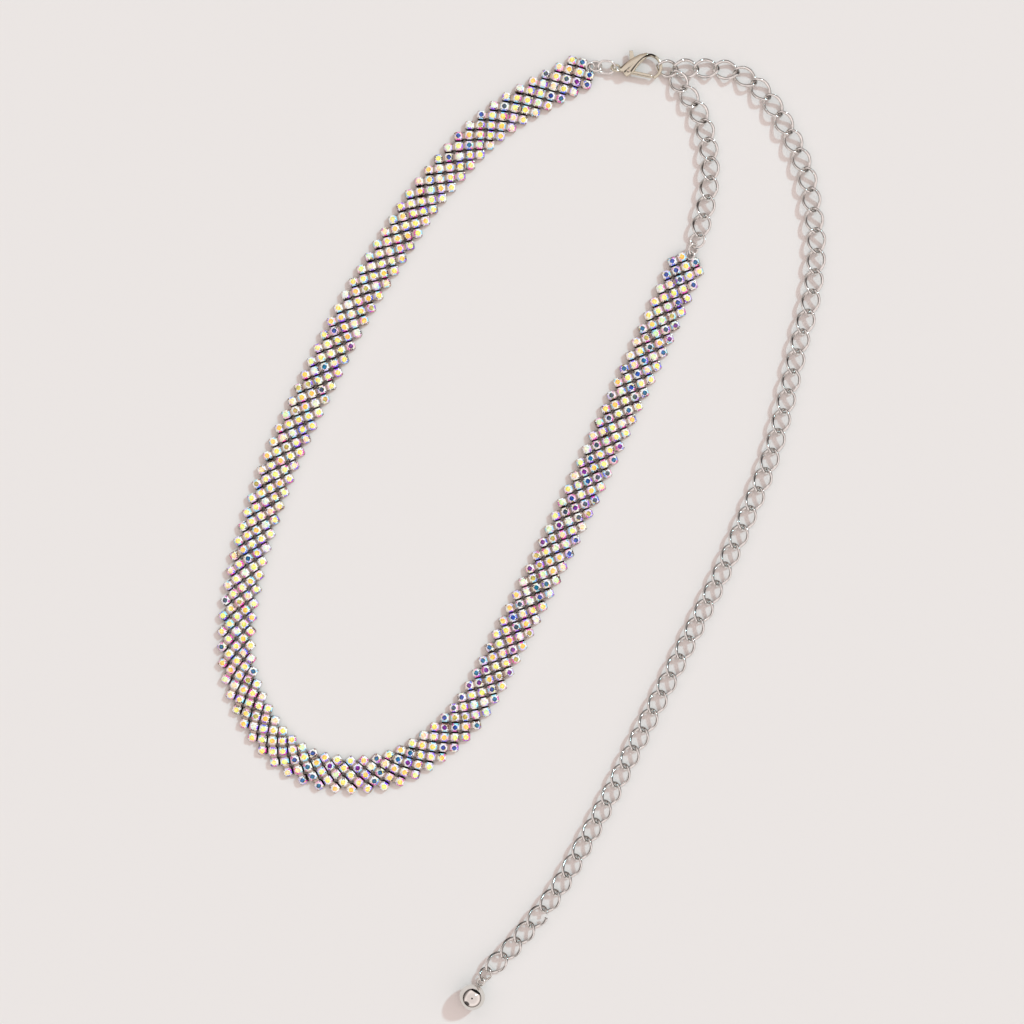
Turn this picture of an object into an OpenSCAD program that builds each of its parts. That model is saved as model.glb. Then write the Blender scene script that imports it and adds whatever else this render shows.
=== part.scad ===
/* [Stone band] */
// Side of one square stone cup
cup_w = 2.95; // [2.6:0.05:3.1]
// Groove between two cups that are side by side
cup_gap = 0.57; // [0.4:0.01:0.9]
// Height of a cup's wall
cup_h = 1.5; // [1.1:0.05:2.2]
// Columns of stones across the band
columns = 5; // [3:2:7]
// Angle between a slanting row and the run of the band
row_angle = 43; // [41:0.2:45]
// How far each column lies ahead of the one on its left
column_lean = 0.12; // [0:0.02:0.16]
// Radius that the band's back is arched to, across its width
arch_r = 34; // [26:1:90]
// Width of the metal bar between two cups of a row
bar_w = 1; // [0.6:0.1:1.4]
// Thickness of the metal bar between two cups of a row
bar_t = 0.6; // [0.4:0.05:0.8]
// Height of that bar above the underside of its cups
bar_rise = 0.3; // [0.15:0.05:0.5]

/* [Cut stones] */
// Rim of metal left round a stone, at the middle of a cup's side
rim = 0.06; // [0.04:0.01:0.2]
// Height of a stone's crown above its cup
crown_h = 0.62; // [0.3:0.02:1]
// Width of the flat table on top of a stone
table_w = 1.6; // [1:0.05:2]
// Depth that a stone is sunk into its cup
seat_depth = 0.3; // [0.15:0.05:0.6]

/* [Curb chain] */
// Distance from one link of the tail chain to the next
link_pitch = 7.15; // [7.1:0.05:7.2]
// Links of the waist chain between the hooked one and the rings
waist_links = 9; // [8:1:10]
// Thickness of the link wire
wire_d = 1.05; // [0.85:0.05:1.1]
// Play between two links that pull on each other
link_play = 0.32; // [0.3:0.01:0.34]
// Overall width of a link
link_w = 7; // [6.8:0.1:7.2]
// Twist from the middle of a link to either end
link_twist = 45; // [44:1:48]
// Gap in the wire of the link that is left open
open_gap = 0.5; // [0.2:0.05:0.8]

/* [Jump rings] */
// Outer diameter of the ring that holds the waist chain
large_ring_d = 6.4; // [6.3:0.05:6.6]
// Wire of that ring
large_ring_wire = 0.95; // [0.8:0.05:1]
// Outer diameter of the ring that holds the stone band
small_ring_d = 4.6; // [4.5:0.05:4.7]
// Wire of that ring
small_ring_wire = 0.8; // [0.7:0.05:0.85]
// Outer diameter of the ring on the clasp's end of the band
band_ring_d = 5; // [4.95:0.05:5.1]
// Wire of that ring
band_ring_wire = 0.8; // [0.7:0.05:0.85]
// Overall length of the oval link between that ring and the clasp
oval_l = 6.7; // [6.6:0.05:6.8]
// Overall width of the oval link
oval_w = 5.2; // [5:0.1:5.4]
// Wire of the oval link
oval_wire = 0.85; // [0.7:0.05:0.9]
// Outer diameter of the loop soldered to each end of the band
end_loop_d = 3.6; // [3.5:0.05:3.7]
// Wire of that end loop
end_loop_wire = 0.75; // [0.7:0.05:0.8]

/* [Clasp] */
// Thickness of the clasp's body, from its lower to its upper face
clasp_t = 3.2; // [3:0.1:3.5]
// Slot between the two cheeks, where the lever lies
slot_t = 1.2; // [1.1:0.05:1.3]
// Thickness of the lever
lever_t = 1; // [0.9:0.05:1]
// Radius of the middle line of the hook
hook_r = 4.1; // [4:0.05:4.2]
// Thickness of the hook's round bow
hook_d = 1.2; // [1.1:0.05:1.25]
// Diameter of the round tip of the hook
hook_tip_d = 1.34; // [1.3:0.02:1.4]
// Radius of the round cheeks at the pivot
cheek_r = 1.75; // [1.6:0.05:2]
// Diameter of the rivet that the lever turns on
rivet_d = 0.9; // [0.8:0.05:1]
// Gap all round the rivet, in the lever's hole
rivet_play = 0.05; // [0.03:0.01:0.08]
// Width of the gate
gate_w = 1.25; // [1.1:0.05:1.4]
// Distance from the rivet to the end of the thumb piece
thumb_l = 7.3; // [7:0.1:7.6]
// Gap between the closed gate and the hook's point
gate_gap = 0.15; // [0.1:0.05:0.3]
// Angle that the lever opens to
open_angle = 20; // [10:1:22]

/* [End ball] */
// Diameter of the ball on the end of the tail chain
ball_d = 9; // [8.5:0.1:9.5]
// Outer diameter of the eye on the ball
eye_d = 3.6; // [3.5:0.1:3.8]
// Wire of that eye
eye_wire = 0.85; // [0.8:0.05:0.9]
// Overall length of the small link that holds the ball
ball_link_l = 6; // [5.8:0.1:6.2]
// Overall width of that small link
ball_link_w = 4.8; // [4.6:0.1:5]

/* [Hidden] */

// Where the three strands lie, from the clasp on: round points chosen by hand
band_route = [[22.2, 161.1], [9, 154], [-4, 146.5], [-16, 137], [-26, 126], [-35.5, 114.5], [-43.5, 102],
    [-59, 77], [-72.5, 50], [-85, 23], [-94.5, -5], [-98, -20], [-100, -34], [-99.5, -49],
    [-94.5, -63], [-86, -75.5], [-74, -83.5], [-59, -86], [-44.5, -83.5], [-31.5, -76], [-20.5, -66],
    [-12.5, -54], [-5.5, -40.5], [8, -14], [21, 13], [33.5, 40], [46, 67], [58.1, 94.4]];
tail_route = [[53.4, 161.2], [60.3, 161.1], [67.2, 161.4], [74.2, 160.3], [80.3, 157], [85, 152],
    [88.7, 146.9], [95.3, 134.7], [100, 121.8], [102, 107.8], [103, 100.9], [102.6, 93.9],
    [100.9, 80], [97.1, 66.3], [92.4, 45.8], [86.8, 25.2], [78.9, 5.3], [70.1, -14.5],
    [57.1, -40.8], [43.9, -66.9], [30.5, -93.5], [19.8, -113.3], [11.9, -126.8], [3.7, -137.4],
    [-6.1, -149], [-11.85, -154.1]];
waist_route = [[52.5, 159.6], [56.6, 153.4], [60.4, 148.2], [62.9, 143.5], [64.4, 137], [65.5, 130.3],
    [65.6, 123.3], [64.8, 116.7], [63.4, 110.2], [61.75, 103.1]];
// The single pieces along the same line: band ring, clasp link, clasp rivet and hooked link,
// then the large and the small ring, then the small link and the ball
clasp_route = [[25.5, 162.1], [29.36, 161.7], [36.9, 160.1], [50.48, 161.17]];
ring_route = [[61.17, 101.12], [59.72, 98.05]];
ball_route = [[-13.02, -155.72], [-17.6, -163]];

// Height of the middle of every chain, ring and clasp above the surface
run_z = 1.65;

// A smooth curve through the points of a route
curve_steps = 6;
function bend(a, b, c, d, t) = 0.5 * (2 * b + (c - a) * t + (2 * a - 5 * b + 4 * c - d) * t * t
    + (3 * b - a - 3 * c + d) * t * t * t);
function padded(r) = concat([2 * r[0] - r[1]], r, [2 * r[len(r) - 1] - r[len(r) - 2]]);
function smooth(r) = let (p = padded(r)) concat(
    [for (i = [1 : len(r) - 1], k = [0 : curve_steps - 1])
        bend(p[i - 1], p[i], p[i + 1], p[i + 2], k / curve_steps)], [r[len(r) - 1]]);
function walked(c) = [for (i = 0, s = 0; i < len(c);
    s = s + (i + 1 < len(c) ? norm(c[i + 1] - c[i]) : 0), i = i + 1) s];
// A route as two tables, of x and of y against the distance run
function tables(r) = let (c = smooth(r), s = walked(c))
    [[for (i = [0 : len(c) - 1]) [s[i], c[i][0]]], [for (i = [0 : len(c) - 1]) [s[i], c[i][1]]],
        s[len(c) - 1]];
function at(t, s) = [lookup(s, t[0]), lookup(s, t[1])];
function run_of(t) = t[2];
function way(t, s) = let (d = at(t, min(s + 1, t[2])) - at(t, max(s - 1, 0))) d / norm(d);
function turn_of(d) = atan2(d[1], d[0]);

band = tables(band_route);
tail = tables(tail_route);
waist = tables(waist_route);

// The lattice of cups
cup_step = cup_w + cup_gap;
column_pitch = cup_step * sin(row_angle);
periods = floor(run_of(band) / (2 * cup_step * cos(row_angle)));
half_pitch = run_of(band) / periods / 2;
mid_column = (columns - 1) / 2;
last_half = 2 * periods;
first_row = -floor(mid_column / 2);
last_row = periods - 1 + ceil(mid_column / 2);
cup_corner = cup_w / sqrt(2);
edge_tilt = mid_column * column_pitch / arch_r * 180 / PI;
// Height of the middle column, so that the outer cups' corners touch the surface
arch_z = arch_r * (1 - cos(edge_tilt)) + cup_corner * sin(edge_tilt);
stone_w = cup_w - 2 * rim;
cup_turn = 45;

function half_of(row, col) = 2 * row + 1 + col - mid_column;
function has_cup(row, col) = half_of(row, col) >= 0 && half_of(row, col) <= last_half;
function lean_at(row, col) = max(0, min(run_of(band), half_of(row, col) * half_pitch
    + (col - mid_column) * column_lean));
function tilt_at(col) = (col - mid_column) * column_pitch / arch_r * 180 / PI;
function side_of(d) = [d[1], -d[0]];
// Middle of the underside of a cup
function cup_base(row, col) = let (s = lean_at(row, col), p = at(band, s), q = side_of(way(band, s)),
    w = arch_r * sin(tilt_at(col)))
    [p[0] + q[0] * w, p[1] + q[1] * w, arch_z - arch_r * (1 - cos(tilt_at(col)))];

module cut_stone() {
    // Four roof shapes that cross leave a crown of eight facets round a table
    half = stone_w / 2;
    top = seat_depth + crown_h;
    intersection_for(turn = [0 : 45 : 135])
        rotate([90, 0, turn])
            linear_extrude(height = 3 * cup_w, center = true)
                polygon([[-half, 0], [half, 0], [half, seat_depth], [table_w / 2, top],
                    [-table_w / 2, top], [-half, seat_depth]]);
}

module cup_at(row, col) {
    s = lean_at(row, col);
    translate(cup_base(row, col))
        rotate([0, 0, turn_of(way(band, s))])
            rotate([tilt_at(col), 0, 0])
                rotate([0, 0, cup_turn]) {
                    translate([0, 0, cup_h / 2])
                        cube([cup_w, cup_w, cup_h], center = true);
                    translate([0, 0, cup_h - seat_depth])
                        cut_stone();
                }
}

module bar_between(row, col) {
    a = cup_base(row, col);
    b = cup_base(row, col + 1);
    d = b - a;
    translate((a + b) / 2 + [0, 0, bar_rise + bar_t / 2])
        rotate([0, -asin(d[2] / norm(d)), atan2(d[1], d[0])])
            cube([norm(d) - cup_w / 2, bar_w, bar_t], center = true);
}

module slanting_row(row) {
    for (col = [0 : columns - 1])
        if (has_cup(row, col)) {
            cup_at(row, col);
            if (col + 1 < columns && has_cup(row, col + 1))
                bar_between(row, col);
        }
}

// The loop between the two cups that stand out at an end of the band
end_loop_out = 1.6;
end_loop_roll = 28;
module end_loop(p, d, roll) {
    translate([p[0] + d[0] * end_loop_out, p[1] + d[1] * end_loop_out, run_z])
        rotate([roll, 0, turn_of(d)])
            wire_ring(end_loop_d, end_loop_wire);
}

module wire_ring(outer_d, wire) {
    rotate_extrude($fn = 40)
        translate([(outer_d - wire) / 2, 0])
            circle(d = wire, $fn = 20);
}

// An oval ring with straight sides, flat in its own plane
module oval_ring(length, width, wire) {
    straight = length - width;
    for (turn = [0, 180])
        rotate([0, 0, turn]) {
            translate([straight / 2, 0, 0])
                rotate([0, 0, -90])
                    rotate_extrude(angle = 180, $fn = 40)
                        translate([(width - wire) / 2, 0])
                            circle(d = wire, $fn = 20);
            translate([0, (width - wire) / 2, 0])
                rotate([0, 90, 0])
                    cylinder(d = wire, h = straight, center = true, $fn = 20);
        }
}

module end_rows(rows, p, d, roll) {
    for (row = rows)
        slanting_row(row);
    end_loop(p, d, roll);
}

split_row = floor((first_row + last_row) / 2);

module stone_band_left() {
    color([0.82, 0.74, 0.5]) {
        end_rows([first_row, first_row + 1], at(band, 0), -way(band, 0), end_loop_roll);
        for (row = [first_row + 2 : split_row])
            slanting_row(row);
    }
}

module stone_band_right() {
    color([0.8, 0.7, 0.52]) {
        for (row = [split_row + 1 : last_row - 2])
            slanting_row(row);
        end_rows([last_row - 1, last_row], at(band, run_of(band)), way(band, run_of(band)), -end_loop_roll);
    }
}

// A curb link: an oval of wire whose two ends are twisted opposite ways
wire_sides = 6;
link_rings = 12;
// Where on a link its two wire ends meet, counted round from its leading end
open_side = 150;
function link_mid(t, a, b, roll, twist) = let (x = a * cos(t), f = roll - twist * cos(t), y = b * sin(t))
    [x, y * cos(f), y * sin(f)];
function unit(v) = v / norm(v);
function link_points(a, b, wire, roll, twist, turns) = [for (t = turns)
    let (c = link_mid(t, a, b, roll, twist),
        along = unit(link_mid(t + 1, a, b, roll, twist) - link_mid(t - 1, a, b, roll, twist)),
        out = let (f = roll - twist * cos(t)) [b * cos(t), a * sin(t) * cos(f), a * sin(t) * sin(f)],
        up = unit(cross(along, out)), flat = cross(up, along))
    for (k = [0 : wire_sides - 1])
        c + wire / 2 * (cos(k * 360 / wire_sides) * flat + sin(k * 360 / wire_sides) * up)];
function quad(i, j, k, n) = let (a = i * n + k, b = i * n + (k + 1) % n, c = j * n + (k + 1) % n, d = j * n + k)
    [[a, c, b], [a, d, c]];

module curb_link(length, width, wire, roll, twist, gap = 0) {
    a = (length - wire) / 2;
    b = (width - wire) / 2;
    gap_turn = gap / a * 90 / PI;
    closed = gap == 0;
    turns = [for (i = [0 : link_rings - (closed ? 1 : 0)])
        open_side + gap_turn + i * (360 - 2 * gap_turn) / link_rings];
    sides = [for (i = [0 : link_rings - 1], k = [0 : wire_sides - 1])
        each quad(i, (i + 1) % len(turns), k, wire_sides)];
    caps = closed ? [] : [[for (k = [0 : wire_sides - 1]) k],
        [for (k = [wire_sides - 1 : -1 : 0]) link_rings * wire_sides + k]];
    polyhedron(link_points(a, b, wire, roll, twist, turns), concat(sides, caps));
}

// Overall length of a link whose neighbours are one pitch away
function link_l(pitch, wire) = pitch + 2 * wire + link_play;

module link_between(p, q, z, length, width, wire, roll, twist, gap = 0) {
    d = q - p;
    translate([(p[0] + q[0]) / 2, (p[1] + q[1]) / 2, z])
        rotate([0, 0, turn_of(d)])
            curb_link(length, width, wire, roll, twist, gap);
}

tail_links = round(run_of(tail) / link_pitch);
tail_pitch = run_of(tail) / tail_links;
open_link = 49;

module tail_chain() {
    color([0.72, 0.71, 0.7])
        for (i = [0 : tail_links - 1])
            link_between(at(tail, i * tail_pitch), at(tail, (i + 1) * tail_pitch),
                run_z + (first_tail_z - run_z) * ease(i), link_l(tail_pitch, wire_d), link_w, wire_d,
                first_tail_roll * ease(i), link_twist, i + 1 == open_link ? open_gap : 0);
}

waist_pitch = run_of(waist) / waist_links;

// The link in the hook, and how the first link of each chain sits up in it
hooked_at = clasp_route[3];
hooked_turn = -10;
hooked_l = 8.24;
hooked_w = 6.4;
hooked_z = 2.1;
hooked_roll = 20;
hooked_twist = 42;
first_tail_z = 2.08;
first_tail_roll = 13;
first_waist_z = 2.26;
first_waist_roll = 20;

// How much of the first link's tilt and lift is left in each link after it
function ease(i) = i == 0 ? 1 : i == 1 ? 0.5 : i == 2 ? 0.15 : 0;

module waist_chain() {
    color([0.72, 0.71, 0.7]) {
        translate([hooked_at[0], hooked_at[1], hooked_z])
            rotate([0, 0, hooked_turn])
                curb_link(hooked_l, hooked_w, wire_d, hooked_roll, hooked_twist);
        for (i = [0 : waist_links - 1])
            link_between(at(waist, i * waist_pitch), at(waist, (i + 1) * waist_pitch),
                run_z + (first_waist_z - run_z) * ease(i), link_l(waist_pitch, wire_d), link_w,
                wire_d, first_waist_roll * ease(i), link_twist);
    }
}

band_ring_at = clasp_route[0];
clasp_link_at = clasp_route[1];
clasp_at = clasp_route[2];
large_ring_at = ring_route[0];
small_ring_at = ring_route[1];
ball_link_at = ball_route[0];
ball_at = ball_route[1];

module ring_at(p, toward, z, roll, outer_d, wire) {
    translate([p[0], p[1], z])
        rotate([0, 0, turn_of(toward - p)])
            rotate([roll, 0, 0])
                wire_ring(outer_d, wire);
}

large_ring_roll = 32;
small_ring_roll = 36;
module chain_ring_large() {
    color([0.75, 0.74, 0.72])
        ring_at(large_ring_at, small_ring_at, run_z + 0.3, large_ring_roll, large_ring_d, large_ring_wire);
}

module chain_ring_small() {
    color([0.75, 0.74, 0.72])
        ring_at(small_ring_at, large_ring_at, run_z, small_ring_roll, small_ring_d, small_ring_wire);
}

band_ring_roll = -28;
module band_ring() {
    color([0.75, 0.74, 0.72])
        ring_at(band_ring_at, clasp_link_at, run_z, band_ring_roll, band_ring_d, band_ring_wire);
}

clasp_link_roll = 25;
module clasp_link() {
    color([0.75, 0.74, 0.72])
        translate([clasp_link_at[0], clasp_link_at[1], (run_z + clasp_z) / 2])
            rotate([0, 0, turn_of(clasp_at + clasp_loop_at - clasp_link_at)])
                rotate([clasp_link_roll, 0, 0])
                    oval_ring(oval_l, oval_w, oval_wire);
}

// The clasp lies flat, its rivet upright, and its own frame has the rivet at the origin
clasp_z = 1.95;
hook_at = [7.35, 1.7];
hook_start = 104;
hook_end = -62;
hook_point = hook_at + hook_r * [cos(hook_end), sin(hook_end)];
gate_turn = turn_of(hook_point);
gate_l = norm(hook_point) - hook_tip_d / 2 - gate_gap;
tail_at = [-2.2, 0.85];
tail_r = 0.95;
clasp_loop_d = 3.8;
clasp_loop_wire = 0.8;
clasp_loop_at = [-4.35, 1.35];
clasp_loop_roll = 34;
web = [[-2.5, 1.7], [0.7, 4.1], [3.9, 5.85], [6.6, 6.5], [6.2, 4.95], [4.2, 3.8], [1.7, 0.9], [0, -1.7], [-2, -0.1]];

module clasp_loop() {
    translate([clasp_loop_at[0], clasp_loop_at[1], 0])
        rotate([0, 0, turn_of(clasp_loop_at - tail_at)])
            rotate([clasp_loop_roll, 0, 0])
                wire_ring(clasp_loop_d, clasp_loop_wire);
}

module hook_bow() {
    translate([hook_at[0], hook_at[1], 0]) {
        rotate([0, 0, hook_end])
            rotate_extrude(angle = hook_start - hook_end, $fn = 48)
                translate([hook_r, 0])
                    circle(d = hook_d, $fn = 24);
    }
    translate([hook_point[0], hook_point[1], 0])
        sphere(d = hook_tip_d, $fn = 24);
}

// Outline of the thumb piece, and the room that the slot leaves on either side of it
thumb_right = [[1.3, 0.3], [2.2, 4.2], [1.6, thumb_l], [1.6, thumb_l + 2]];
thumb_left = [[0.5, thumb_l + 2], [0.5, thumb_l], [0.6, 4.2], [-1.2, 0.3]];
slot_side = 0.25;
function turned(p, a) = [p[0] * cos(a) - p[1] * sin(a), p[0] * sin(a) + p[1] * cos(a)];
module lever_sweep() {
    translate([0, 0, -slot_t / 2])
        linear_extrude(height = slot_t) {
            circle(r = 1.65, $fn = 48);
            polygon(concat([for (p = thumb_right) [p[0] + slot_side, p[1]]],
                [for (p = thumb_left) turned([p[0] - slot_side, p[1]], open_angle)]));
            polygon([[0, -2], [8, -3.6], [8, 2.2], [0, 2]]);
        }
}

module in_clasp() {
    translate([clasp_at[0], clasp_at[1], clasp_z])
        children();
}

module clasp_body() {
    color([0.86, 0.8, 0.72])
        in_clasp() {
            difference() {
                union() {
                    cylinder(r = cheek_r, h = clasp_t, center = true, $fn = 48);
                    linear_extrude(height = clasp_t, center = true)
                        polygon(web);
                    translate([tail_at[0], tail_at[1], 0])
                        cylinder(r = tail_r, h = clasp_t * 0.8, center = true, $fn = 32);
                }
                lever_sweep();
                cylinder(d = rivet_d + 0.04, h = clasp_t + 1, center = true, $fn = 32);
            }
            hook_bow();
            clasp_loop();
        }
}

module clasp_pin() {
    color([0.75, 0.72, 0.66])
        in_clasp()
            cylinder(d = rivet_d, h = clasp_t + 0.1, center = true, $fn = 32);
}

module clasp_lever() {
    color([0.84, 0.77, 0.68])
        in_clasp()
            difference() {
                translate([0, 0, -lever_t / 2])
                    linear_extrude(height = lever_t) {
                        circle(r = 1.35, $fn = 32);
                        rotate([0, 0, gate_turn]) {
                            translate([0, -gate_w / 2])
                                square([gate_l - gate_w / 2, gate_w]);
                            translate([gate_l - gate_w / 2, 0])
                                circle(d = gate_w, $fn = 32);
                        }
                        polygon([for (p = concat(thumb_right, thumb_left)) if (p[1] <= thumb_l) p]);
                    }
                cylinder(d = rivet_d + 2 * rivet_play, h = lever_t + 1, center = true, $fn = 32);
            }
}

ball_roll = -40;
peg_d = 1.5;
// Distance from the ball's middle to the middle of its eye
eye_out = 5.7;
module ball_link() {
    d = unit(ball_at - ball_link_at);
    color([0.72, 0.71, 0.7])
        translate([ball_link_at[0], ball_link_at[1], run_z])
            rotate([0, 0, turn_of(d)])
                curb_link(ball_link_l, ball_link_w, wire_d - 0.15, 0, link_twist);
}

module end_ball() {
    color([0.78, 0.77, 0.76])
        translate([ball_at[0], ball_at[1], 0]) {
            translate([0, 0, ball_d / 2])
                sphere(d = ball_d, $fn = 64);
            rotate([0, 0, turn_of(ball_link_at - ball_at)])
                translate([0, 0, run_z]) {
                    rotate([0, 90, 0])
                        cylinder(d = peg_d, h = eye_out - eye_d / 2 + eye_wire / 2, $fn = 32);
                    translate([eye_out, 0, 0])
                        rotate([ball_roll, 0, 0])
                            wire_ring(eye_d, eye_wire);
                }
        }
}

stone_band_left();
stone_band_right();
waist_chain();
tail_chain();
band_ring();
clasp_link();
clasp_body();
clasp_pin();
clasp_lever();
chain_ring_large();
chain_ring_small();
ball_link();
end_ball();
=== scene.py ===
import math
import random
import bpy
from mathutils import Matrix, Vector


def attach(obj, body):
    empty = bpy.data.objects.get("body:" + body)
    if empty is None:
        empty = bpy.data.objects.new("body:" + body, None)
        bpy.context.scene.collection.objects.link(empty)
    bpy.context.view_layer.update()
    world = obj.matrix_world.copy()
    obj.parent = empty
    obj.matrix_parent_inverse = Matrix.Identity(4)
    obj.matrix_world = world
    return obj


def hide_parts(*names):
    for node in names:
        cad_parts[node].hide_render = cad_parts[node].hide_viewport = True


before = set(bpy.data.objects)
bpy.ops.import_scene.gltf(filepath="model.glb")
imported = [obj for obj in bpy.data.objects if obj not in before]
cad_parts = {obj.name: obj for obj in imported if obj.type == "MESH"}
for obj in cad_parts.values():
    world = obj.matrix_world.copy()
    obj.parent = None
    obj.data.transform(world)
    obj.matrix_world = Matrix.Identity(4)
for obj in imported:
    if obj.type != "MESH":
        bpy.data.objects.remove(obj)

mm = 0.001
chance = random.Random(11)
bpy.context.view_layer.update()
print("frame loaded")


# small helpers for picking and shaping

def leaveEdit():
    if bpy.context.object and bpy.context.object.mode != "OBJECT":
        bpy.ops.object.mode_set(mode="OBJECT")


def pickNothing():  # before each new primitive, so that only the new one is shaped
    leaveEdit()
    bpy.ops.object.select_all(action="DESELECT")


def selectOnly(pieces):
    pickNothing()
    for piece in pieces:
        piece.select_set(True)
    bpy.context.view_layer.objects.active = pieces[0]


def clearPicks(mesh):
    for part in (mesh.vertices, mesh.edges, mesh.polygons):
        part.foreach_set("select", [False] * len(part))


def enterEdit(points=False, edges=False, faces=False):
    bpy.context.tool_settings.mesh_select_mode = (points, edges, faces)
    bpy.ops.object.mode_set(mode="EDIT")


def pickFaces(piece, test):  # leaves the piece in edit mode with those faces selected
    selectOnly([piece])
    clearPicks(piece.data)
    for face in piece.data.polygons:
        face.select = test(face)
    enterEdit(faces=True)


def pickEdges(piece, test):
    selectOnly([piece])
    mesh = piece.data
    clearPicks(mesh)
    for edge in mesh.edges:
        a, b = (mesh.vertices[i].co for i in edge.vertices)
        edge.select = test(a, b)
    enterEdit(edges=True)


def pickPoints(piece, test):
    selectOnly([piece])
    clearPicks(piece.data)
    for point in piece.data.vertices:
        point.select = test(point.co)
    enterEdit(points=True)


def applyModifier(piece, kind, **settings):
    selectOnly([piece])
    modifier = piece.modifiers.new(kind.lower(), kind)
    for name, value in settings.items():
        setattr(modifier, name, value)
    bpy.ops.object.modifier_apply(modifier=modifier.name)


def settlePlace(piece):  # the object's place goes into its mesh
    selectOnly([piece])
    bpy.ops.object.transform_apply(location=True, rotation=True, scale=True)


def addBox(name, size, middle=(0, 0, 0)):
    pickNothing()
    bpy.ops.mesh.primitive_cube_add(size=1, location=(0, 0, 0))
    box = bpy.context.object
    box.name = name
    pickFaces(box, lambda face: True)
    bpy.ops.transform.resize(value=size)
    bpy.ops.transform.translate(value=middle)
    leaveEdit()
    return box


def addRing(name, outer, wire, rounds=40, sides=12):
    pickNothing()
    bpy.ops.mesh.primitive_torus_add(major_segments=rounds, minor_segments=sides, location=(0, 0, 0),
                                     major_radius=(outer - wire) / 2, minor_radius=wire / 2)
    ring = bpy.context.object
    ring.name = name
    return ring


def copyTo(model, place):
    twin = model.copy()
    twin.data = model.data.copy()
    twin.matrix_world = place
    bpy.context.collection.objects.link(twin)
    return twin


def joinAs(name, parts):
    selectOnly(parts)
    bpy.ops.object.join()
    piece = bpy.context.object
    settlePlace(piece)
    piece.name = piece.data.name = name
    return piece


def dropModel(model):
    bpy.data.objects.remove(model, do_unlink=True)


def pinTo(piece, body, slotName, *nodes):
    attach(piece, body)
    if nodes:
        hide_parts(*nodes)


# where the strands lie: listed round points, in metres

bandRoute = [(0.0222, 0.1611), (0.009, 0.154), (-0.004, 0.1465), (-0.016, 0.137), (-0.026, 0.126),
             (-0.0355, 0.1145), (-0.0435, 0.102), (-0.059, 0.077), (-0.0725, 0.05), (-0.085, 0.023),
             (-0.0945, -0.005), (-0.098, -0.02), (-0.1, -0.034), (-0.0995, -0.049), (-0.0945, -0.063),
             (-0.086, -0.0755), (-0.074, -0.0835), (-0.059, -0.086), (-0.0445, -0.0835),
             (-0.0315, -0.076), (-0.0205, -0.066), (-0.0125, -0.054), (-0.0055, -0.0405),
             (0.008, -0.014), (0.021, 0.013), (0.0335, 0.04), (0.046, 0.067), (0.0581, 0.0944)]
tailRoute = [(0.0534, 0.1612), (0.0603, 0.1611), (0.0672, 0.1614), (0.0742, 0.1603), (0.0803, 0.157),
             (0.085, 0.152), (0.0887, 0.1469), (0.0953, 0.1347), (0.1, 0.1218), (0.102, 0.1078),
             (0.103, 0.1009), (0.1026, 0.0939), (0.1009, 0.08), (0.0971, 0.0663), (0.0924, 0.0458),
             (0.0868, 0.0252), (0.0789, 0.0053), (0.0701, -0.0145), (0.0571, -0.0408),
             (0.0439, -0.0669), (0.0305, -0.0935), (0.0198, -0.1133), (0.0119, -0.1268),
             (0.0037, -0.1374), (-0.0061, -0.149), (-0.01185, -0.1541)]
waistRoute = [(0.0525, 0.1596), (0.0566, 0.1534), (0.0604, 0.1482), (0.0629, 0.1435), (0.0644, 0.137),
              (0.0655, 0.1303), (0.0656, 0.1233), (0.0648, 0.1167), (0.0634, 0.1102), (0.06175, 0.1031)]
claspRoute = {"hooked": (0.05048, 0.16117), "rivet": (0.0369, 0.1601)}
ballRoute = {"link": (-0.01302, -0.15572), "ball": (-0.0176, -0.163)}
runHeight = 1.65 * mm  # of the chains' middle line above the surface


def smoothRoute(points, steps=6):
    pts = [Vector(p) for p in points]
    pts = [2 * pts[0] - pts[1]] + pts + [2 * pts[-1] - pts[-2]]
    curve = []
    for i in range(1, len(pts) - 2):
        a, b, c, d = pts[i - 1:i + 3]
        for k in range(steps):
            t = k / steps
            curve.append(0.5 * (2 * b + (c - a) * t + (2 * a - 5 * b + 4 * c - d) * t * t
                                + (3 * b - a - 3 * c + d) * t ** 3))
    curve.append(pts[-2])
    run = [0.0]
    for a, b in zip(curve, curve[1:]):
        run.append(run[-1] + (b - a).length)
    return {"points": curve, "run": run, "length": run[-1]}


def placeAt(route, run):
    run = min(max(run, 0), route["length"])
    runs = route["run"]
    i = next((k for k in range(1, len(runs)) if runs[k] >= run), len(runs) - 1)
    share = (run - runs[i - 1]) / (runs[i] - runs[i - 1])
    return route["points"][i - 1].lerp(route["points"][i], share)


def headingAt(route, run):
    ahead = placeAt(route, run + 1 * mm) - placeAt(route, run - 1 * mm)
    return ahead.normalized()


def turnOf(direction):
    return math.atan2(direction[1], direction[0])


def seat(point, height, turn, *rolls):
    place = Matrix.Translation((point[0], point[1], height)) @ Matrix.Rotation(turn, 4, "Z")
    for angle, axis in rolls:
        place = place @ Matrix.Rotation(angle, 4, axis)
    return place


# finishes

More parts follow.
